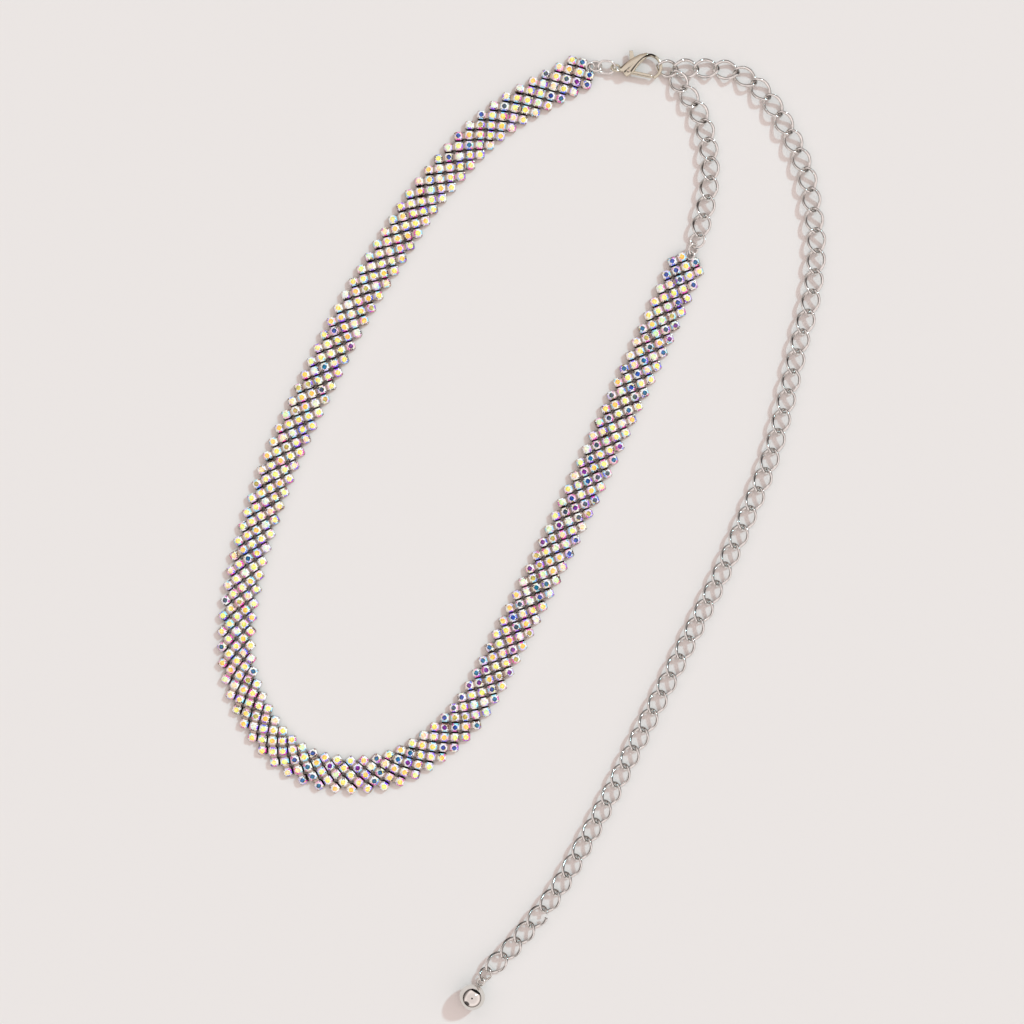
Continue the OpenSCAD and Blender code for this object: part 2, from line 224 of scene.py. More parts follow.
plateSurface = {"hazeFrom": 0.35, "hazeTo": 0.75, "lineScale": 2600, "lineStretch": (1, 1, 0.25),
                "dentStrength": 0.05, "dentDepth": 0.02 * mm}
plateLooks = {
    "chainSilver": {"plate": (244, 242, 239), "dull": (226, 222, 218)},
    "wireSilver": {"plate": (246, 244, 241), "dull": (228, 224, 220), "paintedLightName": "wireShade"},
    "claspSilver": {"plate": (240, 232, 222), "dull": (220, 211, 199), "smooth": 0.1, "hazy": 0.2,
                    "paintedLightName": "castShade"},
    "rivetSilver": {"plate": (232, 222, 210), "dull": (208, 196, 182), "smooth": 0.1, "hazy": 0.2},
    "joinSilver": {"plate": (226, 208, 194), "dull": (190, 170, 156), "smooth": 0.2, "hazy": 0.35},
    "ballSilver": {"plate": (237, 235, 231), "dull": (220, 216, 210), "smooth": 0.04, "hazy": 0.1,
                   "patchScale": 250},
    "cupSilver": {"plate": (240, 236, 232), "dull": (214, 206, 200), "smooth": 0.1, "hazy": 0.28,
                  "paintedLightName": "cupPaintedLight"},
    # the rings between the rows are dark brown: painted shade in the gaps
    "shadedRingSilver": {"plate": (128, 104, 90), "dull": (78, 60, 50), "smooth": 0.25, "hazy": 0.4}}
glassLook = {"cloudScale": 900, "dim": 0.82, "bright": 1.06, "glow": 0.2, "roughness": 0.06,
             "coat": 0.35, "coatRoughness": 0.03}


def linear(red, green, blue):  # a colour as the eye reads it, made linear
    return [((v / 255) / 12.92 if v < 10 else ((v / 255 + 0.055) / 1.055) ** 2.4)
            for v in (red, green, blue)]


def newMaterial(name):
    material = bpy.data.materials.new(name)
    material.use_nodes = True
    return material, material.node_tree.nodes["Principled BSDF"]


def mixTimes(nodes, links, first, second):  # one colour times another, as a new node's output
    mix = nodes.new("ShaderNodeMix")
    mix.data_type, mix.blend_type = "RGBA", "MULTIPLY"
    mix.inputs["Factor"].default_value = 1
    links.new(first, mix.inputs[6])
    links.new(second, mix.inputs[7])
    return mix.outputs[2]


def buildPolishWear():  # faint tone, haze and fine dents of plated metal
    group = bpy.data.node_groups.new("polishWear", "ShaderNodeTree")
    for name, kind, value in (("Plate", "NodeSocketColor", (0.8, 0.8, 0.8, 1)),
                              ("Dull Plate", "NodeSocketColor", (0.6, 0.58, 0.55, 1)),
                              ("Patch Scale", "NodeSocketFloat", 400),
                              ("Line Scale", "NodeSocketFloat", plateSurface["lineScale"]),
                              ("Smooth", "NodeSocketFloat", 0.08), ("Hazy", "NodeSocketFloat", 0.2)):
        socket = group.interface.new_socket(name, in_out="INPUT", socket_type=kind)
        socket.default_value = value
    for name, kind in (("Color", "NodeSocketColor"), ("Roughness", "NodeSocketFloat"),
                       ("Height", "NodeSocketFloat")):
        group.interface.new_socket(name, in_out="OUTPUT", socket_type=kind)
    nodes, links = group.nodes, group.links
    given, out = nodes.new("NodeGroupInput"), nodes.new("NodeGroupOutput")
    place = nodes.new("ShaderNodeTexCoord")
    patches, lines = nodes.new("ShaderNodeTexNoise"), nodes.new("ShaderNodeTexNoise")
    patches.inputs["Detail"].default_value = 3
    lines.inputs["Detail"].default_value = 2
    stretch = nodes.new("ShaderNodeMapping")
    stretch.inputs["Scale"].default_value = plateSurface["lineStretch"]
    tone = nodes.new("ShaderNodeMix")
    tone.data_type = "RGBA"
    haze = nodes.new("ShaderNodeMapRange")
    haze.inputs["From Min"].default_value = plateSurface["hazeFrom"]
    haze.inputs["From Max"].default_value = plateSurface["hazeTo"]
    links.new(place.outputs["Object"], patches.inputs["Vector"])
    links.new(place.outputs["Object"], stretch.inputs["Vector"])
    links.new(stretch.outputs["Vector"], lines.inputs["Vector"])
    links.new(given.outputs["Patch Scale"], patches.inputs["Scale"])
    links.new(given.outputs["Line Scale"], lines.inputs["Scale"])
    links.new(patches.outputs["Fac"], haze.inputs["Value"])
    links.new(given.outputs["Smooth"], haze.inputs["To Min"])
    links.new(given.outputs["Hazy"], haze.inputs["To Max"])
    links.new(patches.outputs["Fac"], tone.inputs["Factor"])
    links.new(given.outputs["Plate"], tone.inputs[6])
    links.new(given.outputs["Dull Plate"], tone.inputs[7])
    links.new(tone.outputs[2], out.inputs["Color"])
    links.new(haze.outputs["Result"], out.inputs["Roughness"])
    links.new(lines.outputs["Fac"], out.inputs["Height"])
    return group


polishWear = buildPolishWear()


def platedMetal(name, plate, dull, smooth=0.08, hazy=0.18, patchScale=400, paintedLightName=None):
    material, shader = newMaterial(name)
    nodes, links = material.node_tree.nodes, material.node_tree.links
    shader.inputs["Metallic"].default_value = 1
    wear = nodes.new("ShaderNodeGroup")
    wear.node_tree = polishWear
    for key, value in (("Plate", (*linear(*plate), 1)), ("Dull Plate", (*linear(*dull), 1)),
                       ("Smooth", smooth), ("Hazy", hazy), ("Patch Scale", patchScale),
                       ("Line Scale", plateSurface["lineScale"])):
        wear.inputs[key].default_value = value
    dents = nodes.new("ShaderNodeBump")
    dents.inputs["Strength"].default_value = plateSurface["dentStrength"]
    dents.inputs["Distance"].default_value = plateSurface["dentDepth"]
    links.new(wear.outputs["Height"], dents.inputs["Height"])
    links.new(dents.outputs["Normal"], shader.inputs["Normal"])
    links.new(wear.outputs["Roughness"], shader.inputs["Roughness"])
    color = wear.outputs["Color"]
    if paintedLightName:  # light and shade painted on the piece: painted shade in grooves and creases, painted reflections and glints elsewhere
        shade = nodes.new("ShaderNodeAttribute")
        shade.attribute_name = paintedLightName
        color = mixTimes(nodes, links, color, shade.outputs["Color"])
    links.new(color, shader.inputs["Base Color"])
    return material


def coatedGlass(name):  # the colour of each facet comes from the stone's own attribute, which holds the stone's colour and painted reflections; the stone also glows a little in it, as painted light
    material, shader = newMaterial(name)
    nodes, links = material.node_tree.nodes, material.node_tree.links
    facet = nodes.new("ShaderNodeAttribute")
    facet.attribute_name = "facetColourAndGlints"
    place, cloud = nodes.new("ShaderNodeTexCoord"), nodes.new("ShaderNodeTexNoise")
    cloud.inputs["Scale"].default_value = glassLook["cloudScale"]
    cloud.inputs["Detail"].default_value = 2
    lift = nodes.new("ShaderNodeMapRange")
    lift.inputs["To Min"].default_value = glassLook["dim"]
    lift.inputs["To Max"].default_value = glassLook["bright"]
    links.new(place.outputs["Object"], cloud.inputs["Vector"])
    links.new(cloud.outputs["Fac"], lift.inputs["Value"])
    color = mixTimes(nodes, links, facet.outputs["Color"], lift.outputs["Result"])
    links.new(color, shader.inputs["Base Color"])
    # the facet colours also glow a little: painted light
    links.new(color, shader.inputs["Emission Color"])
    for key, value in (("Emission Strength", glassLook["glow"]), ("Metallic", 0),
                       ("Roughness", glassLook["roughness"]), ("IOR", 1.5),
                       ("Coat Weight", glassLook["coat"]), ("Coat Roughness", glassLook["coatRoughness"])):
        shader.inputs[key].default_value = value
    return material


finishes = {name: platedMetal(name, **look) for name, look in plateLooks.items()}
finishes["stoneGlass"] = coatedGlass("stoneGlass")


def dress(piece, finish):
    piece.data.materials.clear()
    piece.data.materials.append(finishes[finish])


def newPaint(piece, name, domain):
    return piece.data.color_attributes.new(name, "FLOAT_COLOR", domain).data


print("finishes made")


# one stone cup, with a prong in each corner

cupSizes = {"width": 2.92 * mm, "long": 3.12 * mm, "height": 1.5 * mm, "corner": 0.4 * mm,
            "rim": 0.1 * mm, "sunk": 0.1 * mm, "foot": (1.14, 1.02, 1), "prongOut": 1.69 * mm,
            "prongWidth": 0.46 * mm, "prongDeep": 0.34 * mm, "prongFoot": 0.9 * mm,
            "prongTop": 1.84 * mm, "prongTaper": (0.75, 0.7, 1), "prongLean": 0.26 * mm}
# painted reflections: rims and prongs take the stones' colours; painted shade makes the walls between the
# rows nearly black
glintTints = [((255, 255, 255), 44), ((255, 244, 226), 22), ((255, 222, 224), 10),
              ((230, 214, 255), 9), ((206, 238, 255), 9), ((150, 116, 100), 9)]
# painted light and shade on prongs and walls: shaded backs and lit fronts of the prongs, lit outer walls,
# dark walls between rows, brown walls within a row
cupTints = {"prongBackShade": (120, 98, 86), "prongFrontLit": (240, 232, 226), "outerWallLit": (240, 232, 226),
            "rowGapShade": (52, 34, 27), "innerWallShade": (176, 144, 126)}


def makeCup():
    size = cupSizes
    cup = addBox("cupModel", (size["width"], size["long"], size["height"]), (0, 0, size["height"] / 2))
    pickEdges(cup, lambda a, b: abs(a.z - b.z) > size["height"] / 2)
    bpy.ops.mesh.bevel(offset=size["corner"], segments=1)
    pickFaces(cup, lambda face: face.normal.z > 0.9)
    bpy.ops.mesh.inset(thickness=size["rim"])
    bpy.ops.transform.translate(value=(0, 0, -size["sunk"]))
    pickFaces(cup, lambda face: face.normal.z < -0.9)
    bpy.ops.transform.resize(value=size["foot"])
    middle = (size["prongFoot"] + size["prongTop"]) / 2

    def onNewProng(point):
        return point.x > size["prongOut"] / 2 and abs(point.y) < size["prongWidth"]

    for k in range(4):  # each prong leans in over the stone, and is then turned to its corner
        pickFaces(cup, lambda face: False)
        bpy.ops.mesh.primitive_cube_add(size=1, location=(0, 0, 0))
        bpy.ops.transform.resize(value=(size["prongDeep"], size["prongWidth"],
                                        size["prongTop"] - size["prongFoot"]))
        bpy.ops.transform.translate(value=(size["prongOut"], 0, middle))
        pickPoints(cup, lambda point: onNewProng(point) and point.z > middle)
        bpy.ops.transform.resize(value=size["prongTaper"])
        bpy.ops.transform.translate(value=(-size["prongLean"], 0, 0))
        pickPoints(cup, onNewProng)
        bpy.ops.transform.rotate(value=math.pi / 4 + k * math.pi / 2, orient_axis="Z",
                                 center_override=(0, 0, 0))
    leaveEdit()
    cup.rotation_euler = (0, 0, math.pi / 4)
    settlePlace(cup)
    return cup


def shadeCup(cup, outward):  # outward is 2 or -2 in the outermost columns
    size = cupSizes
    # paints light and shade into the cup's colour: painted reflections on the tops, painted shade and painted
    # light on prongs and walls
    paint = newPaint(cup, "cupPaintedLight", "CORNER")
    for face in cup.data.polygons:
        if face.normal.z > 0.2:
            tint = drawTint(glintTints, 1)
        elif face.center.z > size["height"]:
            tint = cupTints["prongBackShade" if face.center.xy.length > size["prongOut"] else "prongFrontLit"]
        elif face.normal.y * outward > 1:
            tint = cupTints["outerWallLit"]
        else:
            facesNextRow = abs(face.normal.x + face.normal.y) > 0.8
            tint = cupTints["rowGapShade" if facesNextRow else "innerWallShade"]
        for corner in face.loop_indices:
            paint[corner].color = (*linear(*tint), 1)


# one cut stone: a crown of facets round a table, over a low girdle

stoneSizes = {"girdle": 1.37 * mm, "long": 1.05, "table": 0.84 * mm, "girdleHeight": 1.47 * mm,
              "tableHeight": 2.12 * mm, "corner": 0.5 * mm, "girdleDeep": 0.3 * mm, "girdleIn": 0.9,
              "facetLift": 0.05 * mm, "stray": 0.06}
# what a stone's table shows, its edge and its middle, and how often on the left and the right arm
tableTints = [((250, 212, 30), (255, 242, 150), 32, 22), ((255, 184, 40), (255, 212, 116), 22, 12),
              ((238, 236, 80), (250, 248, 160), 14, 9), ((204, 234, 146), (230, 248, 200), 5, 9),
              ((255, 206, 134), (255, 234, 190), 11, 7), ((222, 230, 196), (244, 248, 222), 6, 5),
              ((150, 136, 70), (214, 190, 100), 4, 6), ((14, 20, 62), (58, 90, 176), 0.6, 12),
              ((10, 42, 66), (48, 122, 168), 0.5, 12), ((48, 16, 66), (140, 60, 160), 0.3, 4.5),
              ((30, 34, 40), (80, 98, 116), 0.6, 6.5)]
# painted reflections on the crown, next to the table and towards the girdle, and how often on its paler and
# livelier sides
starTints = [((255, 255, 255), 46, 34), ((226, 208, 196), 10, 14), ((246, 236, 255), 10, 12),
             ((230, 250, 255), 8, 14), ((255, 248, 214), 14, 16), ((255, 222, 226), 12, 14),
             ((255, 236, 120), 4, 8)]
crownTints = [((255, 255, 255), 40, 16), ((255, 246, 226), 16, 10), ((220, 200, 255), 11, 13),
              ((160, 228, 255), 8, 12), ((255, 186, 214), 14, 13), ((150, 84, 240), 2, 9),
              ((100, 124, 240), 1, 7), ((236, 70, 180), 4, 11), ((116, 84, 70), 5, 8),
              ((60, 42, 40), 2, 7)]
# up to which share of the band's length the right arm's weights come how often
rightShares = [(0.1, 0.7), (0.5, 0.05), (0.6, 0.45), (2, 0.9)]
stoneLook = {"tableVaries": 34, "varies": 16, "livelyWay": (0.5, -0.6), "livelyFrom": 0.1,
             "middleReach": 0.1 * mm}


def makeStone():
    size = stoneSizes
    crown = size["tableHeight"] - size["girdleHeight"]
    pickNothing()
    bpy.ops.mesh.primitive_cone_add(vertices=4, radius1=size["girdle"] * math.sqrt(2),
                                    radius2=size["table"] * math.sqrt(2), depth=crown,
                                    location=(0, 0, 0))
    stone = bpy.context.object
    stone.name = "stoneModel"
    pickFaces(stone, lambda face: True)
    bpy.ops.transform.translate(value=(0, 0, size["girdleHeight"] + crown / 2))
    pickEdges(stone, lambda a, b: abs(a.z - b.z) > crown / 2)
    bpy.ops.mesh.bevel(offset=size["corner"], segments=1)
    pickFaces(stone, lambda face: abs(face.normal.z) < 0.95)
    bpy.ops.mesh.poke(offset=size["facetLift"])
    pickFaces(stone, lambda face: face.normal.z > 0.95)
    bpy.ops.mesh.poke()
    pickFaces(stone, lambda face: face.normal.z < -0.95)
    bpy.ops.mesh.extrude_region_move(TRANSFORM_OT_translate={"value": (0, 0, -size["girdleDeep"])})
    bpy.ops.transform.resize(value=(size["girdleIn"], size["girdleIn"], 1))
    pickFaces(stone, lambda face: True)  # a little longer along the row, which runs corner to corner
    bpy.ops.transform.rotate(value=-math.pi / 4, orient_axis="Z", center_override=(0, 0, 0))
    bpy.ops.transform.resize(value=(1, size["long"], 1), center_override=(0, 0, 0))
    bpy.ops.transform.rotate(value=math.pi / 4, orient_axis="Z", center_override=(0, 0, 0))
    leaveEdit()
    return stone


def drawTint(tints, column):  # the weights stand in that column
    return chance.choices([row[0] for row in tints], [row[column] for row in tints])[0]


def varied(tint, amount):
    return [min(255, max(0, v + chance.uniform(-amount, amount))) for v in tint]


def tintStone(stone, rightShare):
    mesh, turn, look = stone.data, stone.matrix_world.to_3x3(), stoneLook
    paint = newPaint(stone, "facetColourAndGlints", "CORNER")
    weights = [row[3] if chance.random() < rightShare else row[2] for row in tableTints]
    tableTint, middleTint = chance.choices([row[:2] for row in tableTints], weights)[0]
    tableLevel = stoneSizes["tableHeight"] - 0.01 * mm
    sides = {}
    for face in mesh.polygons:
        onTable = sum(mesh.vertices[i].co.z > tableLevel for i in face.vertices)
        side = round(turnOf(face.center) / (math.pi / 4)) % 8
        if side not in sides:
            # sides facing this way in the world get the livelier painted reflections
            facing = turn @ face.center.normalized()
            lively = facing.x * look["livelyWay"][0] + facing.y * look["livelyWay"][1] > look["livelyFrom"]
            column = 2 if lively else 1
            sides[side] = {"star": drawTint(starTints, column), "crown": drawTint(crownTints, column)}
        if face.normal.z > 0.98:
            edge = varied(chance.choice([tableTint, tableTint, middleTint]), look["tableVaries"])
            middle = varied(middleTint, look["varies"])
        else:
            edge = middle = varied(sides[side]["star" if onTable == 2 else "crown"], look["varies"])
        for corner in face.loop_indices:
            point = mesh.vertices[mesh.loops[corner].vertex_index].co
            atMiddle = onTable == 3 and point.xy.length < look["middleReach"]
            paint[corner].color = (*linear(*(middle if atMiddle else edge)), 1)


# rings join the cups of neighbouring rows, and solder bars those of one row

joinSizes = {"ring": 1.3 * mm, "wire": 0.3 * mm, "stretch": (1.25, 0.8, 1), "ringAbove": 0.55 * mm,
             "bar": (0.9 * mm, 1.9 * mm, 0.7 * mm), "barRound": 0.2 * mm, "barAbove": 0.95 * mm}


def makeJoin():
    ring = addRing("joinModel", joinSizes["ring"], joinSizes["wire"], rounds=8, sides=4)
    pickFaces(ring, lambda face: True)
    bpy.ops.transform.resize(value=joinSizes["stretch"])
    leaveEdit()
    return ring


def makeBar():
    bar = addBox("barModel", joinSizes["bar"])
    pickEdges(bar, lambda a, b: a.z > 0 and b.z > 0 and abs(a.x - b.x) > joinSizes["bar"][0] / 2)
    bpy.ops.mesh.bevel(offset=joinSizes["barRound"], segments=2)
    leaveEdit()
    return bar


def joinBetween(model, a, b, above):
    gap = b["at"] - a["at"]
    middle = (a["at"] + b["at"]) / 2
    lift = -math.asin(gap.z / gap.length)
    return copyTo(model, seat(middle, middle.z + above, turnOf(gap), (lift, "Y")))


# the band: a lattice of cups on an arched strip

bandSizes = {"columns": 5, "cupStep": 3.52 * mm, "rowAngle": math.radians(43), "lean": 0.12 * mm,
             "archRadius": 34 * mm, "leftEnd": 51}
band = smoothRoute(bandRoute)
midColumn = bandSizes["columns"] // 2
columnPitch = bandSizes["cupStep"] * math.sin(bandSizes["rowAngle"])
periods = int(band["length"] // (2 * bandSizes["cupStep"] * math.cos(bandSizes["rowAngle"])))
halfPitch = band["length"] / periods / 2
edgeTilt = midColumn * columnPitch / bandSizes["archRadius"]
archHeight = (bandSizes["archRadius"] * (1 - math.cos(edgeTilt))
              + cupSizes["width"] / math.sqrt(2) * math.sin(edgeTilt))


def cupPlace(row, column):  # none past the band's ends
    half = 2 * row + 1 + column - midColumn
    if not 0 <= column < bandSizes["columns"] or half < 0 or half > 2 * periods:
        return None
    run = max(0, min(band["length"], half * halfPitch + (column - midColumn) * bandSizes["lean"]))
    tilt = (column - midColumn) * columnPitch / bandSizes["archRadius"]
    ahead = headingAt(band, run)
    side = Vector((ahead[1], -ahead[0]))
    point = placeAt(band, run) + side * (bandSizes["archRadius"] * math.sin(tilt))
    height = archHeight - bandSizes["archRadius"] * (1 - math.cos(tilt))
    return {"at": Vector((point[0], point[1], height)), "run": run, "side": column - midColumn,
            "matrix": seat(point, height, turnOf(ahead), (tilt, "X"))}


def buildBand():
    cup, stone, ring, bar = makeCup(), makeStone(), makeJoin(), makeBar()
    for model, finish in ((cup, "cupSilver"), (stone, "stoneGlass"), (ring, "shadedRingSilver"),
                          (bar, "joinSilver")):
        dress(model, finish)
    for part, rows, slotName in (("Left", range(-1, bandSizes["leftEnd"]), "stones_warm"),
                                 ("Right", range(bandSizes["leftEnd"], periods + 1), "stones_cool")):
        cups, stones, joins = [], [], []
        for row in rows:
            for column in range(bandSizes["columns"]):
                here = cupPlace(row, column)
                if here is None:
                    continue
                cups.append(copyTo(cup, here["matrix"]))
                shadeCup(cups[-1], -here["side"])
                turn = Matrix.Rotation(chance.uniform(-stoneSizes["stray"], stoneSizes["stray"]), 4, "Z")
                stones.append(copyTo(stone, here["matrix"] @ turn))
                along = here["run"] / band["length"]
                tintStone(stones[-1], next(share for end, share in rightShares if along < end))
                nextInRow, inNextRow = cupPlace(row, column + 1), cupPlace(row + 1, column - 1)
                if nextInRow:
                    joins.append(joinBetween(bar, here, nextInRow, joinSizes["barAbove"]))
                if inNextRow:
                    joins.append(joinBetween(ring, here, inNextRow, joinSizes["ringAbove"]))
        node = "stone_band_" + part.lower()
        pinTo(joinAs("cups" + part, cups), "chain", "chain_silver", node)
        pinTo(joinAs("stones" + part, stones), "chain", slotName, node)
        pinTo(joinAs("cupRings" + part, joins), "chain", "chain_silver", node)
        print("band", part, len(stones), "stones")
    for model in (cup, stone, ring, bar):
        dropModel(model)


buildBand()


# curb links: an oval of wire with its ends twisted opposite ways

linkSizes = {"wire": 1.05 * mm, "width": 7 * mm, "twist": 45, "play": 0.32 * mm, "fuller": 0.08 * mm,
             "tailLinks": 52, "waistLinks": 9, "openLink": 49, "openFrom": -3.2 * mm,
             "openTo": -1.9 * mm}
hookedSizes = {"length": 8.24 * mm, "width": 6.4 * mm, "twist": 42, "height": 2.1 * mm, "turn": -10,
               "roll": 20}
ballLinkSizes = {"length": 6 * mm, "width": 4.8 * mm, "wire": 0.9 * mm}
# how far the first links of a chain still sit up in the hooked link, and how high and turned
firstLinks = {"easing": [1, 0.5, 0.15], "tail": (0.43 * mm, 13), "waist": (0.61 * mm, 20)}
# a painted reflection: a dark line along the side of the wire that faces the dark end of the room
wireLook = {"dark": (48, 41, 37), "pale": (255, 255, 255), "toward": (0.53, 0.85, 0), "lean": 0.55,
            "half": 0.42, "lowest": -0.2}


def makeLink(name, length, width, wire, twist):
    a, b = (length - wire) / 2, (width - wire) / 2
    pickNothing()
    bpy.ops.curve.primitive_bezier_circle_add(radius=b, location=(0, 0, 0))
    link = bpy.context.object
    bpy.ops.object.mode_set(mode="EDIT")
    bpy.ops.curve.select_all(action="SELECT")
    bpy.ops.transform.resize(value=(a / b, 1, 1))
    leaveEdit()
    link.data.dimensions = "3D"
    link.data.resolution_u = 9
    link.data.bevel_depth = wire / 2
    link.data.bevel_resolution = 4
    bpy.ops.object.convert(target="MESH")
    link = bpy.context.object
    link.name = name
    pickPoints(link, lambda point: True)
    bpy.ops.mesh.remove_doubles(threshold=0.01 * mm)
    bpy.ops.mesh.normals_make_consistent(inside=False)
    leaveEdit()
    angle = -2 * math.radians(twist) * (a + wire / 2) / a
    applyModifier(link, "SIMPLE_DEFORM", deform_method="TWIST", deform_axis="X", angle=angle)
    bpy.ops.object.shade_smooth()
    return link


def openUp(link):  # cuts a short piece out of the wire and closes both ends
    pickFaces(link, lambda face: (linkSizes["openFrom"] < face.center.x < linkSizes["openTo"]
                                  and face.center.y > 0))
    bpy.ops.mesh.delete(type="FACE")
    pickPoints(link, lambda point: True)
    bpy.ops.mesh.fill_holes(sides=0)
    leaveEdit()


def linkPlace(route, i, pitch, height, roll):
    a, b = placeAt(route, i * pitch), placeAt(route, (i + 1) * pitch)
    return seat((a + b) / 2, height, turnOf(b - a), (math.radians(roll), "X"))


def layLinks(route, count, lift, roll):
    size, easing = linkSizes, firstLinks["easing"]
    pitch = route["length"] / count
    model = makeLink("linkModel", pitch + 2 * size["wire"] + size["play"] + size["fuller"],
                     size["width"] + size["fuller"], size["wire"] + size["fuller"], size["twist"])
    links = []
    for i in range(count):
        ease = easing[i] if i < len(easing) else 0
        links.append(copyTo(model, linkPlace(route, i, pitch, runHeight + lift * ease, roll * ease)))
    dropModel(model)
    return links


def shadeWire(piece):
    look = wireLook
    # the dark reflection line is painted into the wire's colour
    paint = newPaint(piece, "wireShade", "POINT")
    dark, pale = Vector(linear(*look["dark"])), Vector(linear(*look["pale"]))
    for i, point in enumerate(piece.data.vertices):
        lean = point.normal.dot(Vector(look["toward"]))
        amount = max(0, 1 - abs(lean - look["lean"]) / look["half"]) if point.normal.z > look["lowest"] else 0
        paint[i].color = (*pale.lerp(dark, amount), 1)


def buildChains():
    tailLinks = layLinks(smoothRoute(tailRoute), linkSizes["tailLinks"], *firstLinks["tail"])
    openUp(tailLinks[linkSizes["openLink"] - 1])
    tailChain = joinAs("tailLinks", tailLinks)
    waistLinks = layLinks(smoothRoute(waistRoute), linkSizes["waistLinks"], *firstLinks["waist"])
    size = hookedSizes
    hooked = makeLink("hookedModel", size["length"], size["width"], linkSizes["wire"], size["twist"])
    hooked.matrix_world = seat(claspRoute["hooked"], size["height"], math.radians(size["turn"]),
                               (math.radians(size["roll"]), "X"))
    waistChain = joinAs("waistLinks", waistLinks + [hooked])
    size = ballLinkSizes
    ballLink = makeLink("ballLink", size["length"], size["width"], size["wire"], linkSizes["twist"])
    heading = Vector(ballRoute["ball"]) - Vector(ballRoute["link"])
    ballLink.matrix_world = seat(ballRoute["link"], runHeight, turnOf(heading))
    settlePlace(ballLink)
    for piece, node in ((tailChain, "tail_chain"), (waistChain, "waist_chain"), (ballLink, "ball_link")):
        shadeWire(piece)
        dress(piece, "wireSilver")
        pinTo(piece, "chain", "chain_silver", node)
    print("chains", len(tailChain.data.polygons), len(waistChain.data.polygons))


buildChains()


# the clasp: the solids' own forms with the domed cheeks and soft edges of a casting

claspSizes = {"middle": 1.95 * mm, "domeVoxel": 0.16 * mm, "domeRounds": 120, "voxel": 0.1 * mm,
              "grow": (1.05, 1.05, 1.06), "growFrom": (1.8 * mm, 2.1 * mm), "leverRounds": 20,
              "leverFuller": 0.08 * mm, "rounding": 0.5, "softening": 0.6, "softRounds": 3,
              "flatTop": 1.2 * mm, "deep": 2.9 * mm,
              "domeHalf": (8.5 * mm, 2.5 * mm, 1.6 * mm), "domeAt": (1.2 * mm, 2.2 * mm),
              "domeTurn": math.radians(42), "rivetRound": 0.32 * mm}
# room that the dome leaves for the bow, the loop and the rivet: two corners each, in mm from the rivet
claspRooms = {"bow": [(5.2, -3.5, -0.8), (13, 8, 0.8)], "loop": [(-7, -2, -2.2), (-2.8, 4, 2.2)],
              "rivet": [(-0.8, -0.8, -1.6), (0.8, 0.8, 1.6)]}
# the strip along the inner edge, which the bow grows out of, in mm from the rivet
ribSizes = {"wire": 0.36 * mm, "short": 0.2 * mm,
            "path": [(1.2, -0.55, 1.16), (1.75, 0.15, 1.16), (2.6, 1.45, 1.16), (3.75, 2.95, 1.12),
                     (5.0, 4.15, 0.9), (6.5, 5.2, 0.3)]}
# painted shade and painted reflections: dark in the crease and on top of the bow, brown along the outer edge,
# pale elsewhere
castLook = {"dark": (44, 36, 33), "brown": (189, 183, 170), "pale": (244, 246, 237),
            "crease": [(0.8, -0.15), (2.2, 1.65), (3.65, 3.3), (5.1, 4.65), (6.7, 5.5), (8.1, 6.05),
                       (9.6, 5.2)],
            "outerEdge": [(-2.5, 1.7), (0.7, 4.1), (3.9, 5.85), (6.6, 6.5)],
            "lineHalf": 0.18, "lineWider": 0.28, "widestAt": 0.8, "widestReach": 0.3, "lineSoft": 1.5,
            "edgeFrom": 0.25, "edgeFade": 0.8}


def nodeCopy(nodeName, name):
    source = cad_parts[nodeName]
    piece = source.copy()
    piece.data = source.data.copy()
    piece.parent = None
    bpy.context.collection.objects.link(piece)
    piece.name = piece.data.name = name
    pickPoints(piece, lambda point: True)
    bpy.ops.mesh.remove_doubles(threshold=0.001 * mm)
    leaveEdit()
    settlePlace(piece)
    return piece


def softCasting(piece, isLever):
    size = claspSizes
    applyModifier(piece, "REMESH", mode="VOXEL", voxel_size=size["voxel"])
    if isLever:
        applyModifier(piece, "SMOOTH", factor=size["rounding"], iterations=size["leverRounds"])
        pickFaces(piece, lambda face: True)
        bpy.ops.transform.shrink_fatten(value=size["leverFuller"])
        leaveEdit()
    applyModifier(piece, "LAPLACIANSMOOTH", iterations=size["softRounds"],
                  lambda_factor=size["softening"], use_volume_preserve=True)
    selectOnly([piece])
    bpy.ops.object.shade_smooth()
    paintCasting(piece, isLever)
    dress(piece, "claspSilver")


def wayTo(point, path):  # distance to a line of points in mm, and how far along it, from 0 to 1
    best = (9.0, 0.0)
    for i, (a, b) in enumerate(zip(path, path[1:])):
        a, b = Vector(a), Vector(b)
        share = min(1, max(0, (point - a).dot(b - a) / (b - a).length_squared))
        best = min(best, ((point - a.lerp(b, share)).length, (i + share) / (len(path) - 1)))
    return best


def paintCasting(piece, isLever):
    look, origin = castLook, Vector(claspRoute["rivet"])
    # paints the casting's shade and dark reflections into its colour; the lever stays plain pale
    paint = newPaint(piece, "castShade", "POINT")
    dark, brown, pale = (Vector(linear(*look[tint])) for tint in ("dark", "brown", "pale"))
    for i, point in enumerate(piece.data.vertices):
        at = (point.co.xy - origin) / mm
        away, share = wayTo(at, look["crease"])
        nearWidest = max(0, 1 - abs(share - look["widestAt"]) / look["widestReach"])
        half = look["lineHalf"] + look["lineWider"] * nearWidest
        inward = (wayTo(at, look["outerEdge"])[0] - look["edgeFrom"]) / look["edgeFade"]
        color = pale if isLever else brown.lerp(pale, min(1, max(0, inward)))
        inLine = 0 if isLever or share in (0, 1) else min(1, max(0, look["lineSoft"] - away / half))
        paint[i].color = (*color.lerp(dark, inLine), 1)


